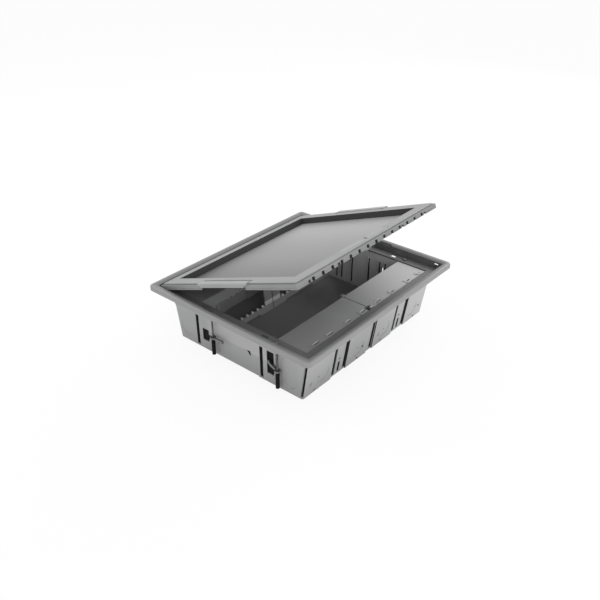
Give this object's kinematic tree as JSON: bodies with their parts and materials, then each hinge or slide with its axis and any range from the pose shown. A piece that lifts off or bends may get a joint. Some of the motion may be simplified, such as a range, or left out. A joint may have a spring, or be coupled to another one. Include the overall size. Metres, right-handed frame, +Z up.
{
  "type": "floor socket box",
  "caption": "Recessed floor socket box with a leaning-sided tub, a rim, device frames with covers, screw clamps, and a hinged recessed lid with latch handle and cable flaps.",
  "frame": {"origin": "centre of the tub's underside", "axes": "+Z up, +X along the lid's hinge line, the lid's free edge towards -Y"},
  "size_m": [0.3316, 0.2904, 0.1753],
  "materials": {
    "tub_plastic": "fine grain",
    "rim_plastic": "fine grain",
    "lid_plastic": "fine grain",
    "carrier_plastic": "fine grain",
    "frame_plastic": "fine grain",
    "cover_plastic": "fine grain",
    "black_plastic": "smooth",
    "coated_steel": "satin powder coat",
    "zinc_steel": "zinc plated",
    "dark_steel": "blackened",
    "seal_rubber": "matt"
  },
  "bodies": {
    "box": {"tub": "tub_plastic", "rim": "rim_plastic", "hinge_pin_left": "zinc_steel", "hinge_pin_right": "zinc_steel", "device_frame_front_left": "frame_plastic", "device_cover_front_left": "cover_plastic", "device_frame_front_right": "frame_plastic", "device_cover_front_right": "cover_plastic", "device_frame_rear_left": "frame_plastic", "device_cover_rear_left": "cover_plastic", "device_frame_rear_right": "frame_plastic", "device_cover_rear_right": "cover_plastic"},
    "lid": {"lid_frame": "lid_plastic", "lid_carrier": "carrier_plastic", "lid_plate": "coated_steel", "lid_seal": "seal_rubber", "lid_edge_strip": "seal_rubber", "handle_pin": "zinc_steel", "outlet_pin_left": "zinc_steel", "outlet_pin_right": "zinc_steel"},
    "handle": {"lid_handle": "lid_plastic"},
    "outlet_flap_left": {"outlet_flap_left": "lid_plastic"},
    "outlet_flap_right": {"outlet_flap_right": "lid_plastic"},
    "clamp_screw_front_left": {"clamp_screw_front_left": "dark_steel"},
    "clamp_guide_front_left": {"clamp_guide_front_left": "black_plastic"},
    "clamp_arm_front_left": {"clamp_arm_front_left": "zinc_steel"},
    "clamp_screw_front_right": {"clamp_screw_front_right": "dark_steel"},
    "clamp_guide_front_right": {"clamp_guide_front_right": "black_plastic"},
    "clamp_arm_front_right": {"clamp_arm_front_right": "zinc_steel"},
    "clamp_screw_rear_left": {"clamp_screw_rear_left": "dark_steel"},
    "clamp_guide_rear_left": {"clamp_guide_rear_left": "black_plastic"},
    "clamp_arm_rear_left": {"clamp_arm_rear_left": "zinc_steel"},
    "clamp_screw_rear_right": {"clamp_screw_rear_right": "dark_steel"},
    "clamp_guide_rear_right": {"clamp_guide_rear_right": "black_plastic"},
    "clamp_arm_rear_right": {"clamp_arm_rear_right": "zinc_steel"}
  },
  "joints": [
    {"name": "lid_hinge", "type": "hinge", "parent": "box", "child": "lid", "pos_m": [0, 0.1281, 0.079], "axis": [-1, 0, 0], "range_deg": [-20.5, 69.5]},
    {"name": "handle_pull", "type": "hinge", "parent": "lid", "child": "handle", "pos_m": [0, -0.10544, 0.1708], "axis": [1, 0, 0], "range_deg": [0, 22], "stiffness_Nm_per_rad": 0.02, "springref_deg": -14.32},
    {"name": "outlet_flap_left", "type": "hinge", "parent": "lid", "child": "outlet_flap_left", "pos_m": [-0.1426, 0.0094, 0.12787], "axis": [0, 0.9367, -0.3502], "range_deg": [0, 85]},
    {"name": "outlet_flap_right", "type": "hinge", "parent": "lid", "child": "outlet_flap_right", "pos_m": [0.1426, 0.0094, 0.12787], "axis": [0, -0.9367, 0.3502], "range_deg": [0, 85]},
    {"name": "clamp_turn_front_left", "type": "hinge", "parent": "box", "child": "clamp_screw_front_left", "pos_m": [-0.1452, -0.0766, 0.074], "axis": [0, 0, -1], "range_deg": [0, 2160]},
    {"name": "clamp_lift_front_left", "type": "slide", "parent": "box", "child": "clamp_guide_front_left", "axis": [0, 0, 1], "range_m": [0, 0.012]},
    {"name": "clamp_swing_front_left", "type": "hinge", "parent": "clamp_guide_front_left", "child": "clamp_arm_front_left", "pos_m": [-0.1452, -0.0766, 0.031], "axis": [0, 0, 1], "range_deg": [0, 105]},
    {"name": "clamp_turn_front_right", "type": "hinge", "parent": "box", "child": "clamp_screw_front_right", "pos_m": [0.1452, -0.0766, 0.074], "axis": [0, 0, -1], "range_deg": [0, 2160]},
    {"name": "clamp_lift_front_right", "type": "slide", "parent": "box", "child": "clamp_guide_front_right", "axis": [0, 0, 1], "range_m": [0, 0.012]},
    {"name": "clamp_swing_front_right", "type": "hinge", "parent": "clamp_guide_front_right", "child": "clamp_arm_front_right", "pos_m": [0.1452, -0.0766, 0.031], "axis": [0, 0, -1], "range_deg": [0, 105]},
    {"name": "clamp_turn_rear_left", "type": "hinge", "parent": "box", "child": "clamp_screw_rear_left", "pos_m": [-0.1452, 0.0412, 0.074], "axis": [0, 0, -1], "range_deg": [0, 2160]},
    {"name": "clamp_lift_rear_left", "type": "slide", "parent": "box", "child": "clamp_guide_rear_left", "axis": [0, 0, 1], "range_m": [0, 0.012]},
    {"name": "clamp_swing_rear_left", "type": "hinge", "parent": "clamp_guide_rear_left", "child": "clamp_arm_rear_left", "pos_m": [-0.1452, 0.0412, 0.031], "axis": [0, 0, 1], "range_deg": [-82, 0]},
    {"name": "clamp_turn_rear_right", "type": "hinge", "parent": "box", "child": "clamp_screw_rear_right", "pos_m": [0.1452, 0.0412, 0.074], "axis": [0, 0, -1], "range_deg": [0, 2160]},
    {"name": "clamp_lift_rear_right", "type": "slide", "parent": "box", "child": "clamp_guide_rear_right", "axis": [0, 0, 1], "range_m": [0, 0.012]},
    {"name": "clamp_swing_rear_right", "type": "hinge", "parent": "clamp_guide_rear_right", "child": "clamp_arm_rear_right", "pos_m": [0.1452, 0.0412, 0.031], "axis": [0, 0, -1], "range_deg": [-82, 0]}
  ],
  "couplings": [
    {"joint": "clamp_turn_front_left", "follows": "clamp_lift_front_left", "rad_per_m": 3141.6},
    {"joint": "clamp_turn_front_right", "follows": "clamp_lift_front_right", "rad_per_m": 3141.6},
    {"joint": "clamp_turn_rear_left", "follows": "clamp_lift_rear_left", "rad_per_m": 3141.6},
    {"joint": "clamp_turn_rear_right", "follows": "clamp_lift_rear_right", "rad_per_m": 3141.6}
  ]
}
